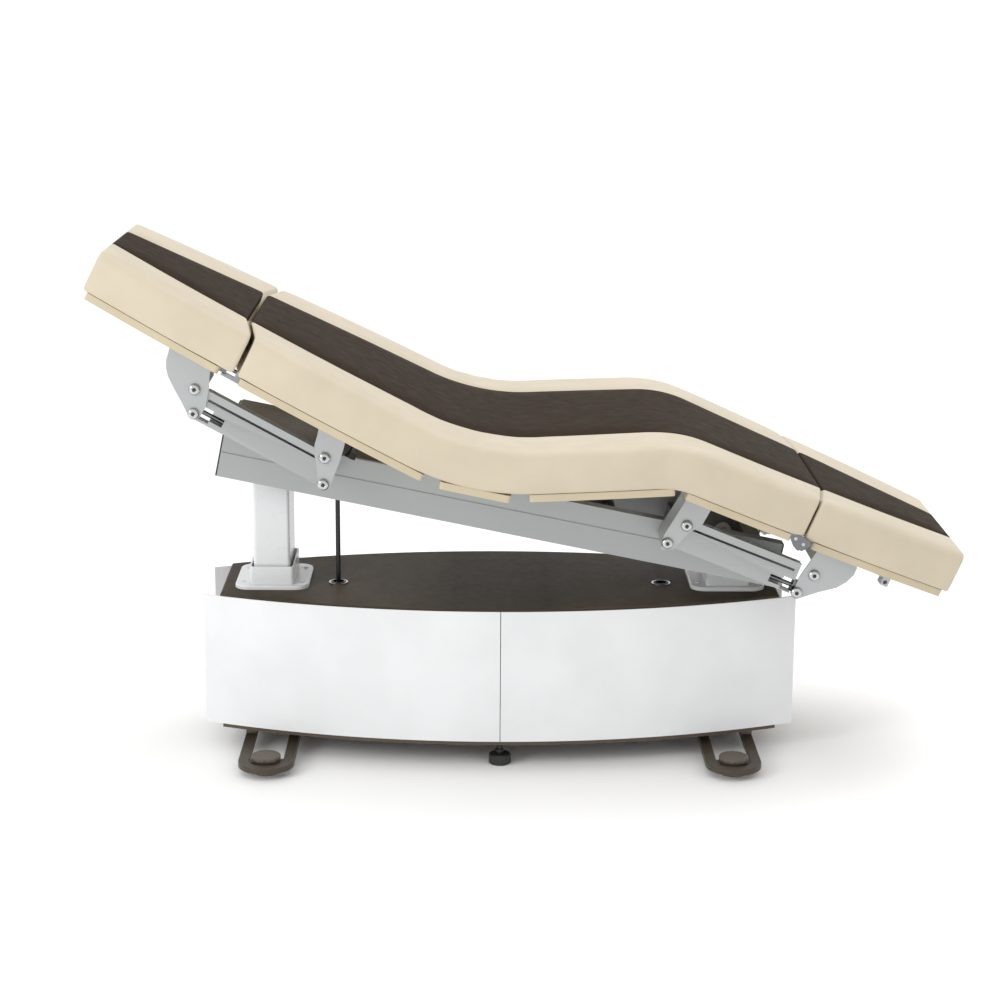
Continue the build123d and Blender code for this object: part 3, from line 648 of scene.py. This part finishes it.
BOLTS = {
    "head_section": [(-0.672, 0.883), (-0.676, 0.829)],
    "back_section": [(-0.390, 0.731), (-0.394, 0.671)],
    "leg_section": [(0.411, 0.580), (0.369, 0.540)],
    "foot_section": [(0.698, 0.467), (0.660, 0.427)],
}
BRACKET_FACE = 0.2933
DOME = [(0.0128, 0.0), (0.0134, 0.0007), (0.0134, 0.0016), (0.0129, 0.0022),
        (0.0126, 0.0044), (0.0112, 0.0068), (0.0086, 0.0084), (0.0054, 0.0091),
        (0.0045, 0.0090), (0.0042, 0.0082)]
# a raised black hexagonal plug in the dome's dish: painted shade that stands in for the
# socket's recess
SOCKET_SHADE = [(0.0043, 0.0080), (0.0044, 0.0093), (0.0036, 0.0095)]


def make_bolt_heads():
    """Polished domed caps over the bracket bolts, each with a black hexagon as painted shade
    where its socket would be.
    """
    for body, places in BOLTS.items():
        mesh = bmesh.new()
        for x, z in places:
            for side in (-1, 1):
                centre = (x + BED_SHIFT, side * BRACKET_FACE, z)
                lathe(mesh, DOME, centre, (0, side, 0))
                lathe(mesh, SOCKET_SHADE, centre, (0, side, 0), count=6, slot=1)
        piece = new_piece(f"{body}_bolt_caps", mesh, MATERIALS["ring_chrome"],
                          MATERIALS["black_plastic"])
        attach(piece, body)


LATCH = [(0.627, 0.583), (0.646, 0.581), (0.680, 0.562), (0.669, 0.547), (0.652, 0.541),
         (0.640, 0.549), (0.633, 0.566)]
LATCH_SCREWS = ((0.643, 0.571), (0.660, 0.558))
LATCH_CORNER = 0.004
LATCH_FACE, LATCH_THICKNESS = 0.366, 0.005
SCREW_HEAD = [(0.0042, 0.0), (0.0042, 0.0012), (0.0034, 0.0020), (0.0018, 0.0022)]


def make_latches():
    """The small rounded plates with two screws beside the leg and foot joint."""
    for side in (-1, 1):
        mesh = bmesh.new()
        outline = [mesh.verts.new((x + BED_SHIFT, side * LATCH_FACE, z)) for x, z in LATCH]
        face = mesh.faces.new(outline)
        solid = bmesh.ops.extrude_face_region(mesh, geom=[face])
        moved = [v for v in solid["geom"] if isinstance(v, bmesh.types.BMVert)]
        bmesh.ops.translate(mesh, verts=moved, vec=(0, side * LATCH_THICKNESS, 0))
        upright = [e for e in mesh.edges
                   if abs(e.verts[0].co.y - e.verts[1].co.y) > LATCH_THICKNESS / 2]
        bmesh.ops.bevel(mesh, geom=upright, offset=LATCH_CORNER, segments=4,
                        affect="EDGES")
        outer = side * (LATCH_FACE + LATCH_THICKNESS)
        for x, z in LATCH_SCREWS:
            lathe(mesh, SCREW_HEAD, (x + BED_SHIFT, outer, z), (0, side, 0), count=20, slot=1)
        name = "front_latch" if side < 0 else "rear_latch"
        piece = new_piece(name, mesh, STEEL_DARK, MATERIALS["ring_chrome"])
        bevel = piece.modifiers.new("edges", "BEVEL")
        bevel.width = 0.0006
        bevel.segments = 2
        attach(piece, "leg_section")


GROMMET_LIP = [(0.0130, 0.3790), (0.0182, 0.3790), (0.0184, 0.3800), (0.0178, 0.3806),
               (0.0136, 0.3808), (0.0130, 0.3804)]


def make_grommets():
    """Black rubber lips inside the two cable rings."""
    mesh = bmesh.new()
    for x in (-RING_DISTANCE, RING_DISTANCE):
        lathe(mesh, GROMMET_LIP, (x + BED_SHIFT, RING_Y, 0), (0, 0, 1), count=40, hollow=True)
    piece = new_piece("grommets", mesh, MATERIALS["black_plastic"])
    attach(piece, "base")


BEAM_FACE, BEAM_HALF_DEPTH = 0.643, 0.051
BEAM_SIDES = (0.152, 0.192)
BEAM_MIDDLE_HEIGHT = 0.589
COLUMN_RISE, COLUMN_SPACING = 0.214, 1.060
BEAM_SLOPE = math.atan2(COLUMN_RISE, COLUMN_SPACING)
CAP_THICKNESS = 0.0035


def make_beam_caps():
    """Dark plastic plugs over the chassis beams' ends."""
    mesh = bmesh.new()
    for end in (-1, 1):
        for side in (-1, 1):
            cube = bmesh.ops.create_cube(mesh, size=1.0)["verts"]
            for v in cube:
                along = end * (BEAM_FACE + (v.co.x + 0.5) * CAP_THICKNESS)
                up = math.copysign(BEAM_HALF_DEPTH, v.co.z)
                y = side * BEAM_SIDES[v.co.y > 0]
                v.co = (along * math.cos(BEAM_SLOPE) + up * math.sin(BEAM_SLOPE) + BED_SHIFT, y,
                        BEAM_MIDDLE_HEIGHT - along * math.sin(BEAM_SLOPE)
                        + up * math.cos(BEAM_SLOPE))
    piece = new_piece("beam_caps", mesh, MATERIALS["black_plastic"])
    bevel = piece.modifiers.new("edges", "BEVEL")
    bevel.width = 0.0012
    bevel.segments = 3
    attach(piece, "chassis")


# ---- floor, light and camera ----
FLOOR_SIZE = 60.0
LIGHT_TARGET = (0, 0, 0.6)
LIGHTS = (("overhead", (1.2, 0.8, 4.4), 3.0, 60),          # place, size and power
          ("front_left", (-4.4, -3.4, 2.6), 2.0, 100))


def make_stage():
    """A pale floor that runs out to the horizon, under a white studio sky."""
    bpy.ops.mesh.primitive_plane_add(size=FLOOR_SIZE, location=(0, 0, 0))
    floor = bpy.context.object
    floor.name = "floor"
    n = Nodes("floor_white")
    tone = n.mix(n.remap(n.noise(0.8), 0.3, 0.7, 0.0, 1.0),
                 (0.93, 0.93, 0.93, 1.0), (0.95, 0.95, 0.95, 1.0))
    rough = n.remap(n.noise(2.0), 0.3, 0.7, 0.55, 0.65)
    floor.data.materials.append(n.finish(tone, rough))
    world = bpy.data.worlds.new("studio")
    bpy.context.scene.world = world
    world.use_nodes = True
    sky = world.node_tree.nodes["Background"]
    sky.inputs["Color"].default_value = (1, 1, 1, 1)
    sky.inputs["Strength"].default_value = 1.08
    bpy.context.scene.view_settings.view_transform = "Standard"
    for name, place, size, power in LIGHTS:
        light = bpy.data.lights.new(name, "AREA")
        light.size = size
        light.energy = power
        lamp = bpy.data.objects.new(name, light)
        lamp.location = place
        aim = Vector(LIGHT_TARGET) - Vector(place)
        lamp.rotation_euler = aim.to_track_quat("-Z", "Y").to_euler()
        bpy.context.scene.collection.objects.link(lamp)


CAMERA_PLACE = (-0.0606, -5.1969, 1.8044)
CAMERA_DOWN = 0.2337           # radians below the horizon
CAMERA_TURN = 0.0116           # towards the foot end
CAMERA_ROLL = 0.0062
CAMERA_LENS = 82.08


def make_camera():
    data = bpy.data.cameras.new("camera")
    data.lens = CAMERA_LENS
    data.sensor_width = 36.0
    camera = bpy.data.objects.new("camera", data)
    forward = Vector((math.sin(CAMERA_TURN) * math.cos(CAMERA_DOWN),
                      math.cos(CAMERA_TURN) * math.cos(CAMERA_DOWN),
                      -math.sin(CAMERA_DOWN)))
    level = Vector((math.cos(CAMERA_TURN), -math.sin(CAMERA_TURN), 0))
    up = level.cross(forward)
    right = level * math.cos(CAMERA_ROLL) + up * math.sin(CAMERA_ROLL)
    above = right.cross(forward)
    matrix = camera.matrix_world.to_3x3()
    matrix.col[0], matrix.col[1], matrix.col[2] = right, above, -forward
    camera.matrix_world = matrix.to_4x4()
    camera.location = Vector(CAMERA_PLACE) + Vector((BED_SHIFT, 0, 0))
    bpy.context.scene.collection.objects.link(camera)
    bpy.context.scene.camera = camera


make_camera()
make_stage()
dress_nodes()
make_mattress()
make_cushions()

make_cable()
make_bolt_heads()
make_latches()
make_grommets()
make_beam_caps()
